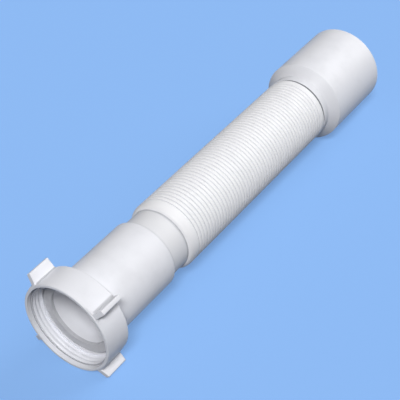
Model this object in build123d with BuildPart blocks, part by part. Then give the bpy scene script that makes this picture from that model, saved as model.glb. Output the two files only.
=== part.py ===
from build123d import *
import math
import os

# Flexible drain connector, lying along Y. The nut's mouth looks to -Y and the
# outlet spigot points to +Y. The origin is the middle of the nut's thread bore,
# on the pipe's axis. Millimetres.

# Nut: a winged union nut for a 1 1/2 inch parallel pipe thread
nut_wall = 2.0
nut_rear_wall = 2.2
nut_rim_round = 0.5
lead_in_depth = 2.5
lead_in_widening = 0.4
thread_length = 6.7
thread_depth = 1.5

# Wings that the hand turns the nut by. The pipe lies rolled onto one of them, so
# the barrel and that wing's tip both touch the floor
wing_count = 4
wing_first_angle = 37.8
wing_height = 6.1
wing_thickness = 2.7
wing_front_slope = 1.6
wing_rear_round = 0.6
wing_edge_round = 0.6
wing_root_round = 1.0
wing_ramp_angle = 17
wing_ramp_lift = 0.4
wing_tip_margin = 0.1

# Seal: a flat ring in front of the cuff's flange, with the same bore
washer_inset = 0.5
washer_thickness = 2.0

# Cuff: a 40 mm tube with a flange that the nut pulls on. The hose is pushed into
# it from behind, up to the end of its narrower bore
cuff_wall = 1.9
cuff_length = 51.7
cuff_end_round = 1.2
flange_rise = 2.1
flange_thickness = 2.0
inlet_bore_length = 27.0
inlet_bore_widening = 0.7

# Hose: one moulding with plain ends and a ringed middle
waterway_radius = 16.2
hose_end_wall = 1.8
neck_length = 14.0
shoulder_run = 3.5
plain_band = 2.7
crest_rise = 2.3
ring_depth = 1.2
ring_pitch = 2.56
ring_count = 50
ring_wall = 0.9
far_shoulder_run = 3.2

# Outlet: a 40 mm collar that steps up to a 50 mm spigot
collar_gap = 0.9
collar_length = 4.2
collar_edge_round = 0.6
step_run = 5.0
step_rise = 5.0
step_inner_round = 0.5
step_outer_round = 0.7
spigot_wall = 2.0
spigot_length = 48.8
spigot_end_chamfer = 1.2
web_thickness = 2.0
plug_depth = 16.0
stop_lip = 2.0

# Clearances: the hose's ends are plugged in, and the nut turns on the cuff and
# passes over its flange
plug_clearance = 0.1
turning_clearance = 0.3
seat_gap = 0.1

# Radii, from the waterway out
inlet_bore_radius = waterway_radius + inlet_bore_widening
hose_end_radius = waterway_radius + hose_end_wall
crest_radius = hose_end_radius + crest_rise
ring_root_radius = crest_radius - ring_depth
ring_bore_radius = ring_root_radius - ring_wall
plug_bore_radius = hose_end_radius + plug_clearance
cuff_radius = plug_bore_radius + cuff_wall
collar_radius = cuff_radius
spigot_radius = collar_radius + step_rise
spigot_bore_radius = spigot_radius - spigot_wall
nut_hole_radius = cuff_radius + turning_clearance
flange_radius = cuff_radius + flange_rise
washer_radius = flange_radius - washer_inset
seat_radius = flange_radius + turning_clearance
thread_major_radius = seat_radius + thread_depth
nut_radius = thread_major_radius + nut_wall
wing_radius = nut_radius + wing_height
envelope_radius = wing_radius + wing_tip_margin

# Stations along the pipe
thread_start_y = -thread_length / 2
thread_end_y = thread_length / 2
nut_mouth_y = thread_start_y - lead_in_depth
washer_front_y = thread_end_y + seat_gap
flange_front_y = washer_front_y + washer_thickness
flange_rear_y = flange_front_y + flange_thickness
nut_shoulder_y = flange_rear_y + turning_clearance
nut_rear_y = nut_shoulder_y + nut_rear_wall
cuff_end_y = flange_front_y + cuff_length
hose_start_y = flange_front_y + inlet_bore_length
shoulder_base_y = cuff_end_y + neck_length
shoulder_top_y = shoulder_base_y + shoulder_run
rings_start_y = shoulder_top_y + plain_band
rings_end_y = rings_start_y + ring_count * ring_pitch
far_base_y = rings_end_y + far_shoulder_run
collar_front_y = far_base_y + collar_gap
step_start_y = collar_front_y + collar_length
step_end_y = step_start_y + step_run
spigot_end_y = step_end_y + spigot_length
hose_end_y = collar_front_y + plug_depth
sleeve_end_y = hose_end_y + stop_lip


def circle_at(part, radius, station):
    """Give the circular edges of one radius at one station along the pipe."""
    return part.edges().filter_by(GeomType.CIRCLE).filter_by(
        lambda edge: abs(edge.radius - radius) < 0.01
        and abs(edge.arc_center.Y - station) < 0.01
    )


def wing_corners(sketch, inner, outer=math.inf):
    """Give the corners on the wings' sides, from one radius to another."""
    pitch = 360 / wing_count

    def is_corner(corner):
        radius = math.hypot(corner.X, corner.Y)
        turn = math.degrees(math.atan2(corner.Y, corner.X)) - wing_first_angle
        offset = radius * math.sin(math.radians((turn + pitch / 2) % pitch - pitch / 2))
        return inner < radius < outer and abs(offset) < wing_thickness

    return sketch.vertices().filter_by(is_corner)


# Union nut, whose outline across the axis has the four wings and their ramps
ramp_top_x = nut_radius / math.cos(math.radians(wing_ramp_angle)) + wing_ramp_lift
ramp_foot_x = nut_radius * math.cos(math.radians(wing_ramp_angle))
ramp_foot_y = nut_radius * math.sin(math.radians(wing_ramp_angle))
nut_plane = Plane(origin=(0, nut_rear_y, 0), x_dir=(1, 0, 0), z_dir=(0, -1, 0))

with BuildPart() as union_nut:
    with BuildSketch(nut_plane) as outline:
        Circle(nut_radius)
        with PolarLocations(0, wing_count, start_angle=wing_first_angle):
            with Locations((wing_radius / 2, 0)):
                Rectangle(wing_radius, wing_thickness)
            Polygon(
                (0, 0),
                (ramp_top_x, 0),
                (ramp_foot_x, ramp_foot_y),
                align=None,
            )
        fillet(wing_corners(outline, nut_radius + wing_height / 2), wing_edge_round)
        fillet(wing_corners(outline, 0, nut_radius + wing_height / 2), wing_root_round)
    extrude(amount=nut_rear_y - nut_mouth_y)
    with BuildSketch(Plane.XY) as envelope:
        with BuildLine():
            Polyline(
                (0, nut_rear_y),
                (0, nut_mouth_y),
                (nut_radius - nut_rim_round, nut_mouth_y),
            )
            RadiusArc(
                (nut_radius - nut_rim_round, nut_mouth_y),
                (nut_radius, nut_mouth_y + nut_rim_round),
                -nut_rim_round,
            )
            Polyline(
                (nut_radius, nut_mouth_y + nut_rim_round),
                (envelope_radius, nut_mouth_y + nut_rim_round + wing_front_slope),
                (envelope_radius, nut_rear_y - wing_rear_round),
            )
            RadiusArc(
                (envelope_radius, nut_rear_y - wing_rear_round),
                (envelope_radius - wing_rear_round, nut_rear_y),
                -wing_rear_round,
            )
            Line((envelope_radius - wing_rear_round, nut_rear_y), (0, nut_rear_y))
        make_face()
    revolve(axis=Axis.Y, mode=Mode.INTERSECT)
    with BuildSketch(Plane.XY) as bore:
        with BuildLine():
            Polyline(
                (0, nut_mouth_y),
                (thread_major_radius + lead_in_widening, nut_mouth_y),
                (thread_major_radius + lead_in_widening, thread_start_y),
                (thread_major_radius, thread_start_y),
                (thread_major_radius, thread_end_y),
                (seat_radius, thread_end_y),
                (seat_radius, nut_shoulder_y),
                (nut_hole_radius, nut_shoulder_y),
                (nut_hole_radius, nut_rear_y),
                (0, nut_rear_y),
                close=True,
            )
        make_face()
    revolve(axis=Axis.Y, mode=Mode.SUBTRACT)
union_nut.part.label = "union_nut"

# Flat sealing washer
with BuildPart() as seal_washer:
    with BuildSketch(Plane.XZ.offset(-flange_front_y)):
        Circle(washer_radius)
        Circle(inlet_bore_radius, mode=Mode.SUBTRACT)
    extrude(amount=washer_thickness)
seal_washer.part.label = "seal_washer"

# Inlet cuff, with the flange in the nut and a step in its bore that stops the hose
with BuildPart() as inlet_cuff:
    with BuildSketch(Plane.XY):
        with BuildLine():
            Polyline(
                (inlet_bore_radius, flange_front_y),
                (flange_radius, flange_front_y),
                (flange_radius, flange_rear_y),
                (cuff_radius, flange_rear_y),
                (cuff_radius, cuff_end_y),
                (plug_bore_radius, cuff_end_y),
                (plug_bore_radius, hose_start_y),
                (inlet_bore_radius, hose_start_y),
                close=True,
            )
        make_face()
    revolve(axis=Axis.Y)
    fillet(circle_at(inlet_cuff, cuff_radius, cuff_end_y), cuff_end_round)
inlet_cuff.part.label = "inlet_cuff"

# Corrugated hose: plain ends, rounded shoulders and a run of rings between them
ring_points = [(crest_radius, rings_start_y)]
for ring in range(ring_count):
    ring_points.append((ring_root_radius, rings_start_y + (ring + 0.5) * ring_pitch))
    ring_points.append((crest_radius, rings_start_y + (ring + 1) * ring_pitch))

with BuildPart() as corrugated_hose:
    with BuildSketch(Plane.XY):
        with BuildLine():
            Polyline(
                (waterway_radius, hose_start_y),
                (hose_end_radius, hose_start_y),
                (hose_end_radius, shoulder_base_y),
            )
            TangentArc(
                (crest_radius, shoulder_top_y),
                (hose_end_radius, shoulder_base_y),
                tangent=(0, -1),
            )
            Line((crest_radius, shoulder_top_y), ring_points[0])
            Polyline(*ring_points)
            TangentArc(
                (crest_radius, rings_end_y),
                (hose_end_radius, far_base_y),
                tangent=(0, 1),
            )
            Polyline(
                (hose_end_radius, far_base_y),
                (hose_end_radius, hose_end_y),
                (waterway_radius, hose_end_y),
                (waterway_radius, far_base_y),
                (ring_bore_radius, rings_end_y),
                (ring_bore_radius, shoulder_top_y),
                (waterway_radius, shoulder_base_y),
                (waterway_radius, hose_start_y),
            )
        make_face()
    revolve(axis=Axis.Y)
corrugated_hose.part.label = "corrugated_hose"

# Outlet spigot: collar, sloped step and tube, with a sleeve that holds the hose
step_slope = step_run / step_rise
web_shift = web_thickness * math.hypot(1, step_slope)
web_start_y = step_start_y + web_shift
web_end_y = web_start_y + step_slope * (spigot_bore_radius - collar_radius)

with BuildPart() as outlet_spigot:
    with BuildSketch(Plane.XY):
        with BuildLine():
            Polyline(
                (plug_bore_radius, collar_front_y),
                (collar_radius, collar_front_y),
                (collar_radius, step_start_y),
                (spigot_radius, step_end_y),
                (spigot_radius, spigot_end_y),
                (spigot_bore_radius, spigot_end_y),
                (spigot_bore_radius, web_end_y),
                (collar_radius, web_start_y),
                (collar_radius, sleeve_end_y),
                (waterway_radius, sleeve_end_y),
                (waterway_radius, hose_end_y),
                (plug_bore_radius, hose_end_y),
                close=True,
            )
        make_face()
    revolve(axis=Axis.Y)
    fillet(circle_at(outlet_spigot, collar_radius, collar_front_y), collar_edge_round)
    fillet(circle_at(outlet_spigot, collar_radius, step_start_y), step_inner_round)
    fillet(circle_at(outlet_spigot, spigot_radius, step_end_y), step_outer_round)
    chamfer(circle_at(outlet_spigot, spigot_radius, spigot_end_y), spigot_end_chamfer)
outlet_spigot.part.label = "outlet_spigot"

os.makedirs("parts", exist_ok=True)
for piece in (union_nut, seal_washer, inlet_cuff, corrugated_hose, outlet_spigot):
    export_step(piece.part, f"parts/{piece.part.label}.step")
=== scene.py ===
"""Flexible corrugated drain connector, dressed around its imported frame."""

import logging
import math
from dataclasses import dataclass, field
from enum import Enum
from typing import Sequence

import bmesh
import bpy
from bpy.types import Material, NodeSocket, NodeTree, Object
from mathutils import Matrix, Vector


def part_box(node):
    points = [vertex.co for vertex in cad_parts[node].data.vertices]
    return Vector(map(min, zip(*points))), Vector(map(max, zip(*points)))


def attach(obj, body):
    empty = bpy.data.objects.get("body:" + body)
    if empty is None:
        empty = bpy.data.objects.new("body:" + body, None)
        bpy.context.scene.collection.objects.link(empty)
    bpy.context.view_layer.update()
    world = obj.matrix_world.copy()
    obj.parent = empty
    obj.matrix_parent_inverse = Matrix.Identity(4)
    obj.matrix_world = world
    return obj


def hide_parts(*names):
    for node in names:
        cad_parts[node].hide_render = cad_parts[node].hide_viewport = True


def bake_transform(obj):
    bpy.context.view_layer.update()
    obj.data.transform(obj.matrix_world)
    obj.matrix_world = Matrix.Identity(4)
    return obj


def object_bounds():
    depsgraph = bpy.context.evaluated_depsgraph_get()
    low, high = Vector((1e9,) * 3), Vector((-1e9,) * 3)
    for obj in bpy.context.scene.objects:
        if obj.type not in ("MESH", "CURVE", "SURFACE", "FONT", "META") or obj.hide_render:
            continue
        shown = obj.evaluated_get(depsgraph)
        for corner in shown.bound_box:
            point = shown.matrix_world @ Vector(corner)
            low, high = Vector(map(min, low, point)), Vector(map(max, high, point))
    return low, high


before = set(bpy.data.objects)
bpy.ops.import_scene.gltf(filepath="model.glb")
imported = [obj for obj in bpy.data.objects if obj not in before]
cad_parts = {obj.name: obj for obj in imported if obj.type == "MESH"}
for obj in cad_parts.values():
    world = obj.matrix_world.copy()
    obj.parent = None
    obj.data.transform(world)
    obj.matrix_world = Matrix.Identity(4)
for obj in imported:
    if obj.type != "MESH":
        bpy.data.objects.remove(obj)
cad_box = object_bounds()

log = logging.getLogger("drain_connector")

MM = 0.001

# The mesh attribute that says how much grey each point of a skin is painted with: painted shade in
# creases, grooves and recesses, and on the hose's plain ends also a light tint
SHADE_ATTRIBUTE = "painted_shade_and_tint"

# Pairs of radius and station along a turned section, in millimetres
Profile = list[tuple[float, float]]

# A direction, or a place in metres
Triple = tuple[float, float, float]

# Points' places along and across a wing, and whether each is the wing's
Outline = list[tuple[float, float, bool]]


class Body(Enum):
    """The bodies that the pieces ride on."""

    INLET = "inlet"
    NUT = "nut"
    OUTLET = "outlet"


class Node(Enum):
    """The solids that the pieces stand for."""

    NUT = "union_nut"
    WASHER = "seal_washer"
    CUFF = "inlet_cuff"
    HOSE = "corrugated_hose"
    SPIGOT = "outlet_spigot"


class Slot(Enum):
    """The record's material slots."""

    MOULDED = "moulded_polypropylene"
    BLOWN = "blown_polyethylene"
    SEAL = "seal_elastomer"


def linear(hex_colour: str) -> tuple[float, float, float, float]:
    """Turn an sRGB hex colour to linear.

    Args:
        hex_colour: The colour as six hex digits after a hash sign.

    Returns:
        Red, green, blue and an alpha of 1.
    """
    channels = []
    for start in (1, 3, 5):
        value = int(hex_colour[start : start + 2], 16) / 255
        if value <= 0.04045:
            channels.append(value / 12.92)
        else:
            channels.append(((value + 0.055) / 1.055) ** 2.4)
    return (channels[0], channels[1], channels[2], 1.0)


def add_node(
    tree: NodeTree,
    kind: str,
    settings: dict[str | int, object] | None = None,
    links: dict[str | int, NodeSocket] | None = None,
) -> bpy.types.Node:
    """Add a node to a tree with its settings and links.

    Args:
        tree: The node tree.
        kind: The node's type name.
        settings: Values for its inputs, by name or number, or its attributes.
        links: Sockets that feed its inputs, by name or number.

    Returns:
        The new node.
    """
    node = tree.nodes.new(kind)
    for name, value in (settings or {}).items():
        if isinstance(name, int) or name in node.inputs:
            node.inputs[name].default_value = value
        else:
            setattr(node, name, value)
    for name, socket in (links or {}).items():
        tree.links.new(socket, node.inputs[name])
    return node


def per_metre(size_mm: float) -> float:
    """Give the texture scale at which one pattern cell is this many millimetres."""
    return 1 / (size_mm * MM)


def empty_tree(owner: Material | bpy.types.World) -> NodeTree:
    """Switch on the nodes of a material or world and clear them.

    Args:
        owner: The material or world.

    Returns:
        Its node tree, which holds nothing yet.
    """
    owner.use_nodes = True
    owner.node_tree.nodes.clear()
    return owner.node_tree


def add_object(name: str, data: bpy.types.ID) -> Object:
    """Make an object and link it to the scene.

    Args:
        name: The object's name.
        data: Its mesh, light or camera.

    Returns:
        The new object.
    """
    made = bpy.data.objects.new(name, data)
    bpy.context.scene.collection.objects.link(made)
    return made


# Finishes

# The values of the patches' noise over which colour and gloss change
HANDLED_FADE = (0.45, 0.75)
GLOSS_FADE = (0.3, 0.7)

# The mix node's sockets for its two colours and for what they mix to
COLOUR_A, COLOUR_B, MIXED = 6, 7, 2


@dataclass(frozen=True)
class Plastic:
    """A moulded plastic's finish: colours, a gloss and a fine surface.

    The clean colour turns to the handled one in broad patches, and to a grey of painted shade
    where the mesh says so, which on the hose's plain ends is also a light tint. A mesh that says
    nothing gets none.
    """

    name: str
    clean: str
    handled: str
    ior: float
    roughness: float
    roughness_spread: float
    patch_mm: float
    grain_mm: float
    grain_depth_mm: float
    ripple_mm: float
    ripple_depth_mm: float
    shade_and_tint_grey: str

    def dress(self, tree: NodeTree, place: NodeSocket) -> dict:
        """Make the colour, the painted shade in creases, gloss and bump of every plastic here.

        Args:
            tree: The material's node tree.
            place: The socket that gives the point on the piece.

        Returns:
            The sockets for base colour, roughness and normal, by name.
        """
        patches = add_node(
            tree,
            "ShaderNodeTexNoise",
            {"Scale": per_metre(self.patch_mm), "Detail": 4.0, "Roughness": 0.6},
            {"Vector": place},
        )
        handled = add_node(
            tree,
            "ShaderNodeMapRange",
            {
                "From Min": HANDLED_FADE[0],
                "From Max": HANDLED_FADE[1],
                "interpolation_type": "SMOOTHSTEP",
            },
            {"Value": patches.outputs["Fac"]},
        )
        colour = add_node(
            tree,
            "ShaderNodeMix",
            {"data_type": "RGBA", COLOUR_A: linear(self.clean), COLOUR_B: linear(self.handled)},
            {0: handled.outputs["Result"]},
        )
        # Painted shade: the grey darkens creases, grooves and recesses where the mesh attribute
        # says so; on the hose's plain ends it is also a light tint
        shade_and_tint = add_node(tree, "ShaderNodeAttribute", {"attribute_name": SHADE_ATTRIBUTE})
        shaded_colour = add_node(
            tree,
            "ShaderNodeMix",
            {"data_type": "RGBA", COLOUR_B: linear(self.shade_and_tint_grey)},
            {0: shade_and_tint.outputs["Fac"], COLOUR_A: colour.outputs[MIXED]},
        )
        gloss = add_node(
            tree,
            "ShaderNodeMapRange",
            {
                "From Min": GLOSS_FADE[0],
                "From Max": GLOSS_FADE[1],
                "To Min": self.roughness - self.roughness_spread,
                "To Max": self.roughness + self.roughness_spread,
            },
            {"Value": patches.outputs["Fac"]},
        )
        ripple = add_node(
            tree,
            "ShaderNodeTexNoise",
            {"Scale": per_metre(self.ripple_mm), "Detail": 1.0},
            {"Vector": place},
        )
        broad = add_node(
            tree,
            "ShaderNodeBump",
            {"Strength": 1.0, "Distance": self.ripple_depth_mm * MM},
            {"Height": ripple.outputs["Fac"]},
        )
        grain = add_node(
            tree,
            "ShaderNodeTexNoise",
            {"Scale": per_metre(self.grain_mm), "Detail": 2.0},
            {"Vector": place},
        )
        fine = add_node(
            tree,
            "ShaderNodeBump",
            {"Strength": 1.0, "Distance": self.grain_depth_mm * MM},
            {"Height": grain.outputs["Fac"], "Normal": broad.outputs["Normal"]},
        )
        return {
            "Base Color": shaded_colour.outputs[MIXED],
            "Roughness": gloss.outputs["Result"],
            "Normal": fine.outputs["Normal"],
        }

    def material(self) -> Material:
        """Build the finish as a material.

        Returns:
            The new material.
        """
        made = bpy.data.materials.new(self.name)
        tree = empty_tree(made)
        place = add_node(tree, "ShaderNodeTexCoord").outputs["Object"]
        settings = {"IOR": self.ior, "Metallic": 0.0}
        shader = add_node(tree, "ShaderNodeBsdfPrincipled", settings, self.dress(tree, place))
        add_node(tree, "ShaderNodeOutputMaterial", links={"Surface": shader.outputs["BSDF"]})
        return made


@dataclass(frozen=True)
class MouldedPolypropylene(Plastic):
    """Injection-moulded polypropylene, satin from the mould.

    The eye sees a cool white with a soft broad highlight, a faint flow ripple
    and a fine mould grain. The real grain is about 0.1 mm and wouldn't show,
    so it is drawn at 0.7 mm.
    """

    name: str = "polypropylene_injection_moulded"
    clean: str = "#F0F1F7"
    handled: str = "#E9EAF0"
    ior: float = 1.49
    roughness: float = 0.44
    roughness_spread: float = 0.05
    patch_mm: float = 18.0
    grain_mm: float = 0.7
    grain_depth_mm: float = 0.006
    ripple_mm: float = 14.0
    ripple_depth_mm: float = 0.05
    # Grey painted into creases and recesses as shade
    shade_and_tint_grey: str = "#8E9096"


@dataclass(frozen=True)
class BlownPolyethylene(Plastic):
    """Polyethylene blown into a ringed mould.

    The eye sees a purer and softer white than the moulded ends. The rings' narrow grooves and the
    creases beside them are painted a little greyer as shade. A light share of the same grey also
    makes its plain ends as cool as the moulded plastic.
    """

    name: str = "polyethylene_blow_moulded"
    clean: str = "#FCFCFF"
    handled: str = "#F6F6FA"
    ior: float = 1.52
    roughness: float = 0.5
    roughness_spread: float = 0.05
    patch_mm: float = 15.0
    grain_mm: float = 0.9
    grain_depth_mm: float = 0.006
    ripple_mm: float = 9.0
    ripple_depth_mm: float = 0.05
    # Grey painted into grooves and creases as shade, and lightly over the plain ends as a tint
    shade_and_tint_grey: str = "#C4C6CC"


@dataclass(frozen=True)
class SealRubber(Plastic):
    """Compression-moulded soft rubber.

    The eye sees a matt light grey ring that is dull beside the plastic.
    """

    name: str = "rubber_compression_moulded"
    clean: str = "#C9CACF"
    handled: str = "#BFC0C6"
    ior: float = 1.5
    roughness: float = 0.72
    roughness_spread: float = 0.06
    patch_mm: float = 8.0
    grain_mm: float = 0.5
    grain_depth_mm: float = 0.01
    ripple_mm: float = 6.0
    ripple_depth_mm: float = 0.03
    # Grey for painted shade in creases, unused on the washer, whose mesh sets none
    shade_and_tint_grey: str = "#8E9096"


@dataclass(frozen=True)
class StudioPaper:
    """Matt paper sweep of the studio: pale blue to the eye, neutral as a reflector."""

    name: str = "paper_matt_coated"
    seen: str = "#92BFFA"
    bounced: str = "#707070"
    lit_share: float = 0.55
    tooth_mm: float = 1.5
    tooth_depth_mm: float = 0.01

    def material(self) -> Material:
        """Build the paper, whose blue shows to the camera, in gloss and through glass.

        Returns:
            The new material.
        """
        made = bpy.data.materials.new(self.name)
        tree = empty_tree(made)
        place = add_node(tree, "ShaderNodeTexCoord").outputs["Object"]
        rays = add_node(tree, "ShaderNodeLightPath")
        shiny = add_node(
            tree,
            "ShaderNodeMath",
            {"operation": "MAXIMUM"},
            {0: rays.outputs["Is Camera Ray"], 1: rays.outputs["Is Glossy Ray"]},
        )
        seen = add_node(
            tree,
            "ShaderNodeMath",
            {"operation": "MAXIMUM"},
            {0: shiny.outputs["Value"], 1: rays.outputs["Is Transmission Ray"]},
        )
        tooth = add_node(
            tree,
            "ShaderNodeTexNoise",
            {"Scale": per_metre(self.tooth_mm), "Detail": 2.0},
            {"Vector": place},
        )
        bump = add_node(
            tree,
            "ShaderNodeBump",
            {"Distance": self.tooth_depth_mm * MM},
            {"Height": tooth.outputs["Fac"]},
        )
        plain, shaded = (
            add_node(
                tree,
                "ShaderNodeBsdfDiffuse",
                {"Color": linear(colour)},
                {"Normal": bump.outputs["Normal"]},
            )
            for colour in (self.bounced, self.seen)
        )
        bright = add_node(
            tree, "ShaderNodeEmission", {"Color": linear(self.seen), "Strength": 1.0}
        )
        blue = add_node(
            tree,
            "ShaderNodeMixShader",
            {0: self.lit_share},
            {1: shaded.outputs["BSDF"], 2: bright.outputs["Emission"]},
        )
        mixed = add_node(
            tree,
            "ShaderNodeMixShader",
            links={0: seen.outputs["Value"], 1: plain.outputs["BSDF"], 2: blue.outputs["Shader"]},
        )
        add_node(tree, "ShaderNodeOutputMaterial", links={"Surface": mixed.outputs["Shader"]})
        return made


# Shapes

# A step of a rounded corner's arc, and the edges that stay sharp in the shading
ARC_STEP = math.radians(12)
SHARP_ANGLE = math.radians(32)

# How near to its ends a straight run gets a point, in millimetres, so that it
# shades flat, and the shortest run that gets them
SUPPORT = 0.35
SUPPORTED_RUN = 4 * SUPPORT

# Where the middle of a small quarter round lies, as a share of its radius
ROUND_MIDDLE = 0.3


@dataclass(frozen=True)
class Corner:
    """A corner of a turned section, in millimetres, with its rounding."""

    radius: float
    station: float
    rounding: float = 0.0


def rounded_profile(corners: Sequence[Corner]) -> Profile:
    """Turn a closed section's corners to points, with arcs at the rounded ones.

    Args:
        corners: The corners in order. The last joins the first.

    Returns:
        Pairs of radius and station, in millimetres.
    """
    points: Profile = []
    count = len(corners)
    for index, corner in enumerate(corners):
        here = Vector((corner.radius, corner.station))
        if corner.rounding == 0:
            points.append((corner.radius, corner.station))
            continue
        before, after = corners[index - 1], corners[(index + 1) % count]
        back = (Vector((before.radius, before.station)) - here).normalized()
        ahead = (Vector((after.radius, after.station)) - here).normalized()
        half = back.angle(ahead) / 2
        middle = here + (back + ahead).normalized() * corner.rounding / math.sin(half)
        start = here + back * corner.rounding / math.tan(half) - middle
        stop = here + ahead * corner.rounding / math.tan(half) - middle
        sweep = start.angle_signed(stop)
        steps = max(2, math.ceil(abs(sweep) / ARC_STEP))
        for step in range(steps + 1):
            spoke = start.copy()
            spoke.rotate(Matrix.Rotation(-sweep * step / steps, 2))
            points.append(tuple(middle + spoke))
    return with_supports(points)


def with_supports(points: Profile) -> Profile:
    """Add a point near both ends of each long straight run, so it shades flat.

    Args:
        points: A closed section's points.

    Returns:
        The points with the added ones between them.
    """
    full: Profile = []
    for index, (radius, station) in enumerate(points):
        full.append((radius, station))
        here = Vector((radius, station))
        run = Vector(points[(index + 1) % len(points)]) - here
        if run.length > SUPPORTED_RUN:
            support = run.normalized() * SUPPORT
            full += [tuple(here + support), tuple(here + run - support)]
    return full


def closed_grid(name: str, rings: Sequence[Sequence[Vector]]) -> Object:
    """Make a closed skin from rings of points, each joined to the next.

    Args:
        name: The object's name.
        rings: The rings, all with the same number of points, in metres. The
            last joins the first.

    Returns:
        The new object, shaded smooth with sharp edges kept.
    """
    columns = len(rings[0])
    mesh = bpy.data.meshes.new(name)
    faces = []
    for row in range(len(rings)):
        below, above = row * columns, (row + 1) % len(rings) * columns
        for column in range(columns):
            beside = (column + 1) % columns
            faces.append((below + column, below + beside, above + beside, above + column))
    mesh.from_pydata([point for ring in rings for point in ring], [], faces)
    work = bmesh.new()
    work.from_mesh(mesh)
    bmesh.ops.recalc_face_normals(work, faces=work.faces)
    work.to_mesh(mesh)
    work.free()
    mesh.shade_smooth()
    mesh.set_sharp_from_angle(angle=SHARP_ANGLE)
    return add_object(name, mesh)


def lay_shade_and_tint(piece: Object, shares: Sequence[float], columns: int = 1) -> None:
    """Write how much grey a piece's skin is painted with, as shade and on the hose also as tint.

    Args:
        piece: The piece.
        shares: A share from 0 to 1 for each ring, or for each point.
        columns: How many points each share is for.
    """
    layer = piece.data.attributes.new(SHADE_ATTRIBUTE, "FLOAT", "POINT")
    values = [share for share in shares for _ in range(columns)]
    layer.data.foreach_set("value", values)


def on_pipe(radius: float, angle: float, station: float) -> Vector:
    """Give a point in metres from its radius, its angle and its station."""
    return Vector((radius * math.cos(angle), station, radius * math.sin(angle))) * MM


def drawn_in(past: float, rounding: float) -> float:
    """Give how far a rounded end draws a surface in, this far past its start."""
    share = min(1.0, max(0.0, past / rounding))
    return rounding * (1 - math.sqrt(1 - share**2))


def turned(name: str, profile: Profile, segments: int) -> Object:
    """Turn a closed section about the pipe's axis.

    Args:
        name: The object's name.
        profile: Pairs of radius and station, in millimetres.
        segments: How many points go round.

    Returns:
        The new object.
    """
    angles = [2 * math.pi * index / segments for index in range(segments)]
    rings = [[on_pipe(radius, angle, station) for angle in angles] for radius, station in profile]
    return closed_grid(name, rings)


def shoulder(crest: float, foot: float, top: float, base: float, steps: int = 8) -> Profile:
    """Give the quarter ellipse from a crest line down to a plain end.

    Args:
        crest: The crest's radius, where the curve runs level.
        foot: The radius of the plain end.
        top: The station where the curve starts.
        base: The station where it meets the plain end.
        steps: How many steps the curve has.

    Returns:
        Pairs of radius and station, from the crest down.
    """
    turns = [math.pi / 2 * step / steps for step in range(steps + 1)]
    return [
        (foot + (crest - foot) * math.cos(turn), top + (base - top) * math.sin(turn))
        for turn in turns
    ]


def span(node: Node) -> tuple[float, float]:
    """Give the stations where a solid starts and ends, in millimetres."""
    low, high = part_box(node.value)
    return low.y / MM, high.y / MM


def reach(node: Node) -> float:
    """Give a turned solid's outer radius, in millimetres."""
    low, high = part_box(node.value)
    return max(high.x, high.z) / MM


def place_piece(
    piece: Object, material: Material, node: Node, body: Body | None
) -> Object:
    """Dress a piece and let it stand for its solid.

    Args:
        piece: The piece.
        material: Its material.
        node: The solid that it stands for.
        body: The body that it rides on, or None for one that rides on none.

    Returns:
        The same piece.
    """
    piece.data.materials.append(material)
    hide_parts(node.value)
    if body is not None:
        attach(piece, body.value)
    return piece


# The union nut


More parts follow.
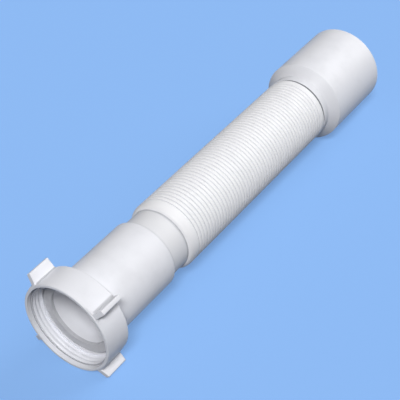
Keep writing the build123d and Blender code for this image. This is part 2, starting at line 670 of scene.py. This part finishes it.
@dataclass
class UnionNut:
    """Winged union nut with its internal thread, in millimetres and degrees."""

    material: Material
    radius: float = reach(Node.NUT)
    mouth: float = span(Node.NUT)[0]
    rear: float = span(Node.NUT)[1]
    rim_round: float = 0.5
    rim_face: float = 0.6
    rim_band: float = 0.02
    rim_join: float = 0.05
    rear_round: float = 0.5
    rear_face: float = 1.6
    lead_in_depth: float = 2.5
    lead_in_radius: float = 24.3
    lead_in_step: float = 0.9
    lead_in_round: float = 0.2
    thread_major_radius: float = 23.9
    thread_length: float = 6.7
    thread_pitch: float = 25.4 / 11
    thread_depth: float = 0.35
    thread_fade: float = 0.6
    seat_radius: float = 22.4
    rear_wall: float = 2.2
    hole_radius: float = 20.3
    hole_round: float = 0.3
    wing_count: int = 4
    wing_first_angle: float = 37.8
    wing_radius: float = 32.0
    wing_thickness: float = 2.7
    wing_front_slope: float = 1.6
    wing_front_round: float = 0.4
    wing_rear_round: float = 0.6
    wing_end_round: float = 1.2
    wing_edge_round: float = 0.6
    wing_root_round: float = 1.0
    wing_ramp_angle: float = 17.0
    wing_ramp_lift: float = 0.4
    wing_margin: float = 0.1
    past_rear: float = 0.001

    # Where the skin has its points. Shares run from 0 to 1 along a stretch
    barrel_step: float = 2.5
    foot_step: float = 0.15
    root_steps: int = 5
    edge_steps: int = 4
    side_shares: tuple[float, ...] = (0.25, 0.5, 0.75)
    ramp_shares: tuple[float, ...] = (0.15, 0.35, 0.55, 0.75, 0.92, 0.985)
    rows_per_turn: int = 14
    beside_seat: float = 0.3
    beside_step: float = 0.15
    step_rings: int = 3

    # Painted shade darkens the foot of the wings and the step between lead-in and thread
    root_shade: float = 0.5
    root_shade_height: float = 0.45
    shaded_wing_height: float = 0.8
    step_shade: float = 0.7

    outline: Outline = field(default_factory=list)

    def __post_init__(self) -> None:
        """Work out the outline across the nut's quarter."""
        self.outline = self.quarter_outline()

    def barrel_points(self, first: float, last: float) -> Outline:
        """Give points on the round barrel, without the last.

        Args:
            first: The angle where they start, in degrees.
            last: The angle that they stop short of.

        Returns:
            The points, none of them the wing's.
        """
        steps = max(2, round((last - first) / self.barrel_step))
        points = []
        for step in range(steps):
            turn = math.radians(first + (last - first) * step / steps)
            points.append((self.radius * math.cos(turn), self.radius * math.sin(turn), False))
        return points

    def arc_points(
        self, middle: Vector, size: float, first: float, last: float, steps: int
    ) -> Outline:
        """Give points on a small arc of a wing.

        Args:
            middle: The arc's centre.
            size: Its radius.
            first: The angle where it starts, in radians.
            last: The angle where it ends.
            steps: How many steps it has.

        Returns:
            The points, each marked as the wing's.
        """
        turns = [first + (last - first) * step / steps for step in range(steps + 1)]
        return [
            (middle.x + size * math.cos(turn), middle.y + size * math.sin(turn), True)
            for turn in turns
        ]

    def side_points(self, start: float, across: float, shares: Sequence[float]) -> Outline:
        """Give points on a wing's side, at shares of the way out to its edge."""
        tip = self.wing_radius - self.wing_edge_round
        return [(start + (tip - start) * share, across, True) for share in shares]

    def ramp(self) -> tuple[float, float]:
        """Work out the flat ramp that leads up to one side of a wing.

        Returns:
            Its slope in radians and its distance from the axis.
        """
        turn = math.radians(self.wing_ramp_angle)
        top = self.radius / math.cos(turn) + self.wing_ramp_lift
        rise = top - self.radius * math.cos(turn)
        slope = math.atan2(rise, self.radius * math.sin(turn))
        return slope, top * math.cos(slope)

    def ramp_points(self, start: float) -> Outline:
        """Give points on the ramp, from beside the wing down to its foot.

        Args:
            start: The angle where the ramp starts, in radians.

        Returns:
            The points, none of them the wing's.
        """
        slope, distance = self.ramp()
        foot = math.radians(self.wing_ramp_angle)
        points = []
        for share in self.ramp_shares:
            turn = start + (foot - start) * share
            size = distance / math.cos(slope - turn)
            points.append((size * math.cos(turn), size * math.sin(turn), False))
        return points

    def quarter_outline(self) -> Outline:
        """Draw one wing with the barrel on both sides of it.

        Returns:
            The points in order, from the plain side of the wing to the ramp's side.
        """
        half = self.wing_thickness / 2
        root, edge = self.wing_root_round, self.wing_edge_round
        tip = self.wing_radius - edge
        slope, distance = self.ramp()
        beside = half + root
        plain = Vector((math.sqrt((self.radius + root) ** 2 - beside**2), -beside))
        along_ramp = (distance + root - beside * math.sin(slope)) / math.cos(slope)
        ramped = Vector((along_ramp, beside))
        half_pitch = 180 / self.wing_count
        right = math.pi / 2
        plain_foot = math.atan2(plain.y, plain.x)
        points = self.barrel_points(-half_pitch, math.degrees(plain_foot))
        points += self.arc_points(plain, root, plain_foot + math.pi, right, self.root_steps)
        points += self.side_points(plain.x, -half, self.side_shares)
        points += self.arc_points(Vector((tip, edge - half)), edge, -right, 0, self.edge_steps)
        points.append((self.wing_radius, 0.0, True))
        points += self.arc_points(Vector((tip, half - edge)), edge, 0, right, self.edge_steps)
        points += self.side_points(ramped.x, half, self.side_shares[::-1])
        points += self.arc_points(ramped, root, -right, slope - math.pi, self.root_steps)
        points += self.ramp_points(math.atan2(points[-1][1], points[-1][0]))
        past_foot = self.wing_ramp_angle + self.foot_step
        points += self.barrel_points(self.wing_ramp_angle, past_foot)[:1]
        return points + self.barrel_points(past_foot, half_pitch)

    def base_under(self, across: float) -> float:
        """Give the height of the barrel, or of the ramp, under a point of a wing.

        Args:
            across: The point's place across the wing.

        Returns:
            The height along the wing, from the axis.
        """
        if across < 0:
            return math.sqrt(self.radius**2 - across**2)
        slope, distance = self.ramp()
        return (distance - across * math.sin(slope)) / math.cos(slope)

    def end_narrowing(self, station: float) -> float:
        """Give how far a wing's sides are drawn in by its rounded rear end."""
        past = station - (self.rear - self.wing_end_round)
        return drawn_in(past, self.wing_end_round)

    def fitted_to_wing(
        self, along: float, across: float, envelope: float, narrowing: float
    ) -> tuple[float, float]:
        """Fit a point of a wing to the section at one station.

        Args:
            along: Its place along the wing.
            across: Its place across the wing.
            envelope: The largest radius at the station.
            narrowing: How far the wing's sides are drawn in there.

        Returns:
            Its new place along and across the wing.
        """
        height = along - self.base_under(across)
        across = math.copysign(max(0.0, abs(across) - narrowing), across)
        base = self.base_under(across)
        left = min(envelope, self.wing_radius) - base
        return base + height * max(0.0, left / (self.wing_radius - base)), across

    def wing_turns(self) -> list[float]:
        """Work out the angle at which each wing stands.

        Returns:
            The angles in radians, one for each wing.
        """
        return [
            math.radians(self.wing_first_angle + 360 / self.wing_count * wing)
            for wing in range(self.wing_count)
        ]

    def angles(self) -> list[float]:
        """Work out the angle of each column of points round the nut.

        Returns:
            The angles in radians, wing by wing.
        """
        return [
            math.atan2(across, along) + turn
            for turn in self.wing_turns()
            for along, across, _ in self.outline
        ]

    def outer_ring(self, envelope: float, station: float, inset: float) -> list[Vector]:
        """Give the nut's outside at one station.

        Args:
            envelope: The largest radius there.
            station: The station, in millimetres.
            inset: How far the skin is drawn in.

        Returns:
            The ring's points, in metres.
        """
        narrowing = self.end_narrowing(station)
        ring = []
        for turn in self.wing_turns():
            for along, across, on_wing in self.outline:
                if on_wing:
                    along, across = self.fitted_to_wing(along, across, envelope, narrowing)
                size = min(math.hypot(along, across), envelope) - inset
                ring.append(on_pipe(size, math.atan2(across, along) + turn, station))
        return ring

    def round_ring(self, radius: float, station: float) -> list[Vector]:
        """Give a plain round ring on the nut's columns, in metres."""
        return [on_pipe(radius, angle, station) for angle in self.angles()]

    def envelope(self) -> Profile:
        """Draw the line that bounds the nut and its wings.

        Two corners within the rim close the section for its rounding, and their
        points are left out again.

        Returns:
            Pairs of radius and station, from the rim to the rear.
        """
        top = self.wing_radius + self.wing_margin
        barrel_start = self.mouth + self.rim_round + self.rim_band
        slope_end = self.mouth + self.rim_round + self.wing_front_slope
        within = self.radius - self.rim_face
        line = rounded_profile(
            [
                Corner(within, self.rear),
                Corner(within, self.mouth),
                Corner(self.radius, self.mouth, self.rim_round),
                Corner(self.radius, barrel_start),
                Corner(top, slope_end, self.wing_front_round),
                Corner(top, self.rear + self.past_rear, self.wing_rear_round),
            ]
        )
        return [point for point in line if point[0] > within + self.rim_join]

    def outside(self) -> list[list[Vector]]:
        """Build the rings of the nut's outside, from the rim to the rear face.

        Returns:
            The rings in order.
        """
        rings = []
        for radius, station in self.envelope():
            inset = drawn_in(station - (self.rear - self.rear_round), self.rear_round)
            rings.append(self.outer_ring(radius, min(station, self.rear), inset))
        return rings

    def thread_rise(self, along: float, angle: float) -> float:
        """Give how far the thread stands in from its major radius.

        Args:
            along: The distance from the lead-in, in millimetres.
            angle: The angle about the axis, in radians.

        Returns:
            The rise, which starts at the lead-in's step and ends at nothing.
        """
        step = self.lead_in_step - (self.lead_in_radius - self.thread_major_radius)
        fade_in = min(1.0, along / self.thread_fade)
        fade_out = min(1.0, (self.thread_length - along) / self.thread_fade)
        turns = along / self.thread_pitch + angle / (2 * math.pi)
        rise = (0.5 - 0.5 * math.cos(2 * math.pi * turns)) * self.thread_depth
        return (step + (rise - step) * fade_in) * fade_out

    def thread_rings(self) -> list[list[Vector]]:
        """Build the rings of the threaded wall, from its far end to the lead-in.

        Returns:
            The rings in order.
        """
        start = self.mouth + self.lead_in_depth
        rows = round(self.thread_length / self.thread_pitch * self.rows_per_turn)
        rings = []
        for row in range(rows + 1):
            along = self.thread_length * (1 - row / rows)
            ring = []
            for angle in self.angles():
                radius = self.thread_major_radius - self.thread_rise(along, angle)
                ring.append(on_pipe(radius, angle, start + along))
            rings.append(ring)
        return rings

    def rear_hole(self) -> Profile:
        """Draw the line from the rear face through the cuff's hole to the thread.

        Returns:
            Pairs of radius and station.
        """
        hole, seat, near = self.hole_radius, self.seat_radius, self.beside_seat
        shoulder_station = self.rear - self.rear_wall
        middle = self.hole_round / 3
        return [
            (self.radius - self.rear_face, self.rear),
            (hole + 2 * self.hole_round, self.rear),
            (hole + self.hole_round, self.rear),
            (hole + middle, self.rear - middle),
            (hole, self.rear - self.hole_round),
            (hole, self.rear - 2 * self.hole_round),
            (hole, shoulder_station),
            (seat - near, shoulder_station),
            (seat, shoulder_station),
            (seat, shoulder_station - near),
            (seat, self.mouth + self.lead_in_depth + self.thread_length),
        ]

    def lead_in(self) -> Profile:
        """Draw the line from the thread's step along the lead-in to the rim.

        Returns:
            Pairs of radius and station. The first few lie on the step.
        """
        radius, rounding, near = self.lead_in_radius, self.lead_in_round, self.beside_step
        step_station = self.mouth + self.lead_in_depth
        return [
            (radius - self.lead_in_step + near, step_station),
            (radius - near, step_station),
            (radius, step_station),
            (radius, step_station - rounding),
            (radius, self.mouth + rounding + near),
            (radius, self.mouth + rounding),
            (radius + ROUND_MIDDLE * rounding, self.mouth + ROUND_MIDDLE * rounding),
            (radius + rounding, self.mouth),
            (radius + 2 * rounding, self.mouth),
        ]

    def inside(self) -> list[list[Vector]]:
        """Build the rings of the nut's inside, from the rear face to the rim.

        Returns:
            The rings in order.
        """
        rings = [self.round_ring(*point) for point in self.rear_hole()]
        rings += self.thread_rings()
        return rings + [self.round_ring(*point) for point in self.lead_in()]

    def shade_and_tint(self, inner_rings: int) -> list[float]:
        """Give how much painted shade each point gets: beside the wings and on the thread's step.

        Args:
            inner_rings: How many rings the inside has.

        Returns:
            Shares from 0 to 1, ring by ring.
        """
        roots = []
        for along, across, on_wing in self.outline:
            height = along - self.base_under(across)
            at_root = on_wing and height < self.root_shade_height
            roots.append(self.root_shade if at_root else 0.0)
        roots *= self.wing_count
        clean = [0.0] * len(roots)
        step = [self.step_shade] * len(roots)
        shares = []
        for radius, _ in self.envelope():
            shares += roots if radius > self.radius + self.shaded_wing_height else clean
        step_start = inner_rings - len(self.lead_in())
        for ring in range(inner_rings):
            on_step = step_start <= ring < step_start + self.step_rings
            shares += step if on_step else clean
        return shares

    def build(self) -> Object:
        """Build the nut.

        Returns:
            The nut as one piece.
        """
        inside = self.inside()
        nut = closed_grid("nut_with_thread", self.outside() + inside)
        # Painted shade at the foot of the wings and on the thread's step
        lay_shade_and_tint(nut, self.shade_and_tint(len(inside)))
        return place_piece(nut, self.material, Node.NUT, Body.NUT)


# The turned pieces


@dataclass
class SealWasher:
    """Flat sealing ring, in millimetres."""

    material: Material
    radius: float = reach(Node.WASHER)
    front: float = span(Node.WASHER)[0]
    back: float = span(Node.WASHER)[1]
    bore_radius: float = 16.9
    edge_round: float = 0.3
    segments: int = 192

    def build(self) -> Object:
        """Build the washer.

        Returns:
            The washer as one piece.
        """
        inner, outer, front, back = self.bore_radius, self.radius, self.front, self.back
        places = [(inner, front), (outer, front), (outer, back), (inner, back)]
        profile = rounded_profile([Corner(*place, self.edge_round) for place in places])
        washer = turned("flat_seal", profile, self.segments)
        return place_piece(washer, self.material, Node.WASHER, Body.INLET)


@dataclass
class InletCuff:
    """Tube with the flange that the nut pulls on, in millimetres."""

    material: Material
    front: float = span(Node.CUFF)[0]
    end: float = span(Node.CUFF)[1]
    flange_radius: float = reach(Node.CUFF)
    flange_thickness: float = 2.0
    flange_edge_round: float = 0.3
    radius: float = 20.0
    end_round: float = 1.2
    bore_radius: float = 16.9
    bore_length: float = 27.0
    bore_edge_round: float = 0.2
    plug_bore_radius: float = 18.1
    segments: int = 192

    def build(self) -> Object:
        """Build the cuff.

        Returns:
            The cuff as one piece.
        """
        flange_rear = self.front + self.flange_thickness
        hose_start = self.front + self.bore_length
        profile = rounded_profile(
            [
                Corner(self.bore_radius, self.front, self.bore_edge_round),
                Corner(self.flange_radius, self.front, self.flange_edge_round),
                Corner(self.flange_radius, flange_rear, self.flange_edge_round),
                Corner(self.radius, flange_rear, self.bore_edge_round),
                Corner(self.radius, self.end, self.end_round),
                Corner(self.plug_bore_radius, self.end, self.bore_edge_round),
                Corner(self.plug_bore_radius, hose_start),
                Corner(self.bore_radius, hose_start, self.bore_edge_round),
            ]
        )
        cuff = turned("inlet_tube", profile, self.segments)
        return place_piece(cuff, self.material, Node.CUFF, Body.INLET)


@dataclass
class CorrugatedHose:
    """Blow-moulded hose with plain ends and a ringed middle, in millimetres."""

    material: Material
    front: float = span(Node.HOSE)[0]
    end: float = span(Node.HOSE)[1]
    cuff_end: float = span(Node.CUFF)[1]
    crest_radius: float = reach(Node.HOSE)
    end_radius: float = 18.0
    bore_radius: float = 16.2
    neck_end: float = 71.15
    shoulder_run: float = 3.5
    plain_band: float = 2.7
    ring_pitch: float = 2.56
    ring_count: int = 50
    ring_depth: float = 1.2
    ring_wall: float = 0.9
    far_shoulder_run: float = 3.2
    far_level: float = 2.2

    # A ring's section is a superellipse with these powers across and along it
    crest_power: float = 2.8
    side_power: float = 2.2

    # Where the skin has its points: on a ring, as shares of the pitch, and on the
    # plain ends, as distances from the cuff, the shoulder and the hose's own ends
    outer_phases: tuple[float, ...] = (0.0, 0.05, 0.14, 0.3, 0.5, 0.7, 0.86, 0.95)
    inner_phases: tuple[float, ...] = (0.0, 0.25, 0.5, 0.75)
    past_cuff: tuple[float, ...] = (0.0, 0.7, 1.4, 2.1)
    before_shoulder: tuple[float, ...] = (1.3, 0.6, 0.2)
    beside_end: float = 0.4
    segments: int = 144

    # Painted shade greys the grooves, and fully the creases of the plain ends, and a light grey
    # tint lies on the plain ends. The crease at the cuff is spread wider than the others
    groove_share: float = 0.14
    neck_grey: float = 0.3
    crease_height: float = 0.3
    crease_reach: float = 1.3
    cuff_crease_spread: float = 2.0

    def first_crest(self) -> float:
        """Give the station of the first ring's crest."""
        return self.neck_end + self.shoulder_run + self.plain_band

    def far_base(self) -> float:
        """Give the station where the rings' far shoulder meets the plain end."""
        plain = self.shoulder_run + self.plain_band + self.far_shoulder_run
        return self.neck_end + plain + self.ring_pitch * self.ring_count

    def shade_and_tint(self, radius: float, station: float) -> float:
        """Give how much grey a point of the skin is painted with: shade in the grooves and
        creases, a light tint on the plain ends.

        Args:
            radius: Its radius.
            station: Its station.

        Returns:
            The share of grey, from 0 on a crest to 1 in a groove or crease.
        """
        along = (station - self.first_crest()) / self.ring_pitch
        if 0 < along < self.ring_count:
            off_groove = abs(along % 1 - 0.5)
            return max(0.0, 1 - off_groove / self.groove_share)
        if radius - self.end_radius > self.crease_height:
            return 0.0
        nearest = min(
            abs(station - self.cuff_end) / self.cuff_crease_spread,
            abs(station - self.neck_end),
            abs(station - self.end),
        )
        closeness = max(0.0, 1 - nearest / self.crease_reach)
        return self.neck_grey + (1 - self.neck_grey) * closeness

    def ring_shape(self, phase: float) -> float:
        """Give a ring's height over the groove, from 0 to 1, at a share of its pitch."""
        offset = abs(2 * phase - 1)
        return (1 - offset**self.crest_power) ** (1 / self.side_power)

    def rings(self, root: float, phases: Sequence[float]) -> Profile:
        """Give one wall's line along all the rings, from crest to crest.

        Args:
            root: The radius at the bottom of the grooves.
            phases: Shares of the pitch to put points at, from groove to groove.

        Returns:
            Pairs of radius and station.
        """
        start = self.first_crest()
        stop = start + self.ring_count * self.ring_pitch
        points: Profile = []
        for ring in range(self.ring_count + 1):
            for phase in phases:
                station = start + (ring + phase - 0.5) * self.ring_pitch
                if start <= station <= stop:
                    height = self.ring_depth * self.ring_shape(phase)
                    points.append((root + height, station))
        return points

    def outer_wall(self) -> Profile:
        """Draw the hose's outside from one end to the other.

        Returns:
            Pairs of radius and station.
        """
        crest, plain = self.crest_radius, self.end_radius
        near_top = self.neck_end + self.shoulder_run
        far_top = self.first_crest() + self.ring_count * self.ring_pitch + self.far_level
        stations = [self.front, self.front + self.beside_end]
        stations += [self.cuff_end + distance for distance in self.past_cuff]
        stations += [self.neck_end - distance for distance in self.before_shoulder]
        near_end = [(plain, station) for station in stations]
        far_end = [
            (plain, self.far_base() + self.beside_end),
            (plain, self.end - self.beside_end),
            (plain, self.end),
        ]
        near_shoulder = shoulder(crest, plain, near_top, self.neck_end)[::-1]
        far_shoulder = shoulder(crest, plain, far_top, self.far_base())
        rings = self.rings(crest - self.ring_depth, self.outer_phases)
        return near_end + near_shoulder + rings + far_shoulder + far_end

    def inner_wall(self) -> Profile:
        """Draw the hose's inside from one end to the other.

        Returns:
            Pairs of radius and station.
        """
        bore = self.bore_radius
        wall = self.end_radius - bore
        root = self.crest_radius - self.ring_depth - self.ring_wall
        near_end = [(bore, self.front), (bore, self.neck_end)]
        far_end = [(bore, self.far_base() + wall / 2), (bore, self.end)]
        return near_end + self.rings(root, self.inner_phases) + far_end

    def build(self) -> Object:
        """Build the hose, which rides on no body.

        Returns:
            The hose as one piece.
        """
        profile = self.outer_wall() + self.inner_wall()[::-1]
        hose = turned("ringed_hose", profile, self.segments)
        # Painted shade in the grooves and creases, and a light grey tint on the plain ends
        lay_shade_and_tint(hose, [self.shade_and_tint(*point) for point in profile], self.segments)
        place_piece(hose, self.material, Node.HOSE, None)
        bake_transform(hose)
        return hose


@dataclass
class OutletSpigot:
    """Collar, sloped step and spigot, with the sleeve that holds the hose."""

    material: Material
    front: float = span(Node.SPIGOT)[0]
    end: float = span(Node.SPIGOT)[1]
    radius: float = reach(Node.SPIGOT)
    wall: float = 2.0
    collar_radius: float = 20.0
    collar_length: float = 4.2
    collar_edge_round: float = 0.6
    step_run: float = 5.0
    step_inner_round: float = 0.5
    step_outer_round: float = 0.7
    end_chamfer: float = 1.2
    chamfer_round: float = 0.4
    rim_round: float = 0.2
    web_shift: float = 2.83
    web_round: float = 0.5
    plug_depth: float = 16.0
    stop_lip: float = 2.0
    sleeve_round: float = 0.3
    plug_bore_radius: float = 18.1
    waterway_radius: float = 16.2
    shaded_face: float = 0.1
    segments: int = 224

    def profile(self) -> Profile:
        """Draw the outlet's section.

        Returns:
            Pairs of radius and station.
        """
        step_start = self.front + self.collar_length
        step_end = step_start + self.step_run
        hose_end = self.front + self.plug_depth
        sleeve_end = hose_end + self.stop_lip
        bore = self.radius - self.wall
        slope = self.step_run / (self.radius - self.collar_radius)
        web_start = step_start + self.web_shift
        web_end = web_start + slope * (bore - self.collar_radius)
        return rounded_profile(
            [
                Corner(self.plug_bore_radius, self.front, self.rim_round),
                Corner(self.collar_radius, self.front, self.collar_edge_round),
                Corner(self.collar_radius, step_start, self.step_inner_round),
                Corner(self.radius, step_end, self.step_outer_round),
                Corner(self.radius, self.end - self.end_chamfer, self.chamfer_round),
                Corner(self.radius - self.end_chamfer, self.end, self.rim_round),
                Corner(bore, self.end, self.rim_round),
                Corner(bore, web_end, self.web_round),
                Corner(self.collar_radius, web_start, self.web_round),
                Corner(self.collar_radius, sleeve_end, self.sleeve_round),
                Corner(self.waterway_radius, sleeve_end, self.sleeve_round),
                Corner(self.waterway_radius, hose_end),
                Corner(self.plug_bore_radius, hose_end),
            ]
        )

    def build(self) -> Object:
        """Build the outlet, with painted shade on the collar's front face.

        Returns:
            The outlet as one piece.
        """
        profile = self.profile()
        spigot = turned("outlet_tube", profile, self.segments)
        # Painted shade greys the collar's front face, in the gap beside the hose's end
        shaded_end = self.front + self.shaded_face
        shares = [float(station < shaded_end) for _, station in profile]
        lay_shade_and_tint(spigot, shares, self.segments)
        return place_piece(spigot, self.material, Node.SPIGOT, Body.OUTLET)


# The studio


@dataclass
class Studio:
    """Paper floor, soft light and the camera.

    The directions are those of the photograph, where the nut's wings stand at 45
    degrees. The pipe lies rolled from there onto one wing, and the lamps and the
    camera turn with it.
    """

    floor_size: float = 30.0
    floor_gap: float = 0.0002
    roll: float = 7.2
    key_from: Triple = (0.285, -0.505, 0.815)
    key_strength: float = 2.43
    key_spread: float = 16.0
    rim_from: Triple = (0.27, 0.79, 0.55)
    rim_strength: float = 1.42
    rim_spread: float = 45.0
    room_strength: float = 0.05

    # The camera stands this far from the nut's mouth, in metres
    eye: Triple = (0.25984, -0.26458, 0.39829)
    to_right: Triple = (0.8244, 0.5660, 0.0)
    ahead: Triple = (-0.4277, 0.6230, -0.6549)
    focal_length: float = 100.7
    sensor: float = 36.0
    nearest: float = 0.01

    def rolled(self, direction: Triple) -> Vector:
        """Turn a direction of the photograph with the pipe's roll onto the wing."""
        return Matrix.Rotation(math.radians(self.roll), 3, "Y") @ Vector(direction)

    def floor(self) -> None:
        """Lay the paper under the lowest point of the object."""
        low, _ = cad_box
        half = self.floor_size / 2
        mesh = bpy.data.meshes.new("paper_floor")
        level = low.z - self.floor_gap
        corners = [(-half, -half), (half, -half), (half, half), (-half, half)]
        mesh.from_pydata([(x, y, level) for x, y in corners], [], [(0, 1, 2, 3)])
        mesh.materials.append(StudioPaper().material())
        add_object("paper_floor", mesh)

    def lamp(self, name: str, source: Triple, strength: float, spread: float) -> None:
        """Hang a soft lamp that shines from one direction.

        Args:
            name: The lamp's name.
            source: The direction that it shines from.
            strength: Its strength.
            spread: How wide it looks from the object, in degrees.
        """
        light = bpy.data.lights.new(name, "SUN")
        light.energy = strength
        light.angle = math.radians(spread)
        holder = add_object(name, light)
        shines_from = self.rolled(source).normalized()
        holder.rotation_euler = shines_from.to_track_quat("Z", "Y").to_euler()
        holder.location = shines_from

    def room(self) -> None:
        """Light the room evenly, with the backdrop's blue where the camera looks."""
        world = bpy.data.worlds.new("studio_room")
        bpy.context.scene.world = world
        tree = empty_tree(world)
        rays = add_node(tree, "ShaderNodeLightPath")
        even, seen = (
            add_node(tree, "ShaderNodeBackground", {"Color": linear(colour), "Strength": strength})
            for colour, strength in (("#FFFFFF", self.room_strength), (StudioPaper().seen, 1.0))
        )
        mixed = add_node(
            tree,
            "ShaderNodeMixShader",
            links={
                0: rays.outputs["Is Camera Ray"],
                1: even.outputs["Background"],
                2: seen.outputs["Background"],
            },
        )
        add_node(tree, "ShaderNodeOutputWorld", links={"Surface": mixed.outputs["Shader"]})

    def camera(self) -> None:
        """Put the camera where the photograph was taken from."""
        lens = bpy.data.cameras.new("photo_camera")
        lens.sensor_width = self.sensor
        lens.lens = self.focal_length
        lens.clip_start = self.nearest
        holder = add_object("photo_camera", lens)
        right = self.rolled(self.to_right).normalized()
        back = -self.rolled(self.ahead).normalized()
        up = back.cross(right)
        mouth = Vector((0, span(Node.NUT)[0] * MM, 0))
        turn = Matrix((right, up, back)).transposed().to_4x4()
        holder.matrix_world = Matrix.Translation(mouth + self.rolled(self.eye)) @ turn
        bpy.context.scene.camera = holder

    def build(self) -> None:
        """Build the floor, the lamps, the room and the camera."""
        self.floor()
        self.lamp("key", self.key_from, self.key_strength, self.key_spread)
        self.lamp("rim", self.rim_from, self.rim_strength, self.rim_spread)
        self.room()
        self.camera()
        bpy.context.scene.view_settings.view_transform = "Standard"


def main() -> None:
    """Build the connector piece by piece, and the studio around it."""
    logging.basicConfig(level=logging.INFO, format="%(message)s")
    moulded = MouldedPolypropylene().material()
    blown = BlownPolyethylene().material()
    rubber = SealRubber().material()
    for part in (
        UnionNut(moulded),
        SealWasher(rubber),
        InletCuff(moulded),
        CorrugatedHose(blown),
        OutletSpigot(moulded),
    ):
        piece = part.build()
        log.info("built %s with %d faces", piece.name, len(piece.data.polygons))
    Studio().build()


if __name__ == "__main__":
    main()
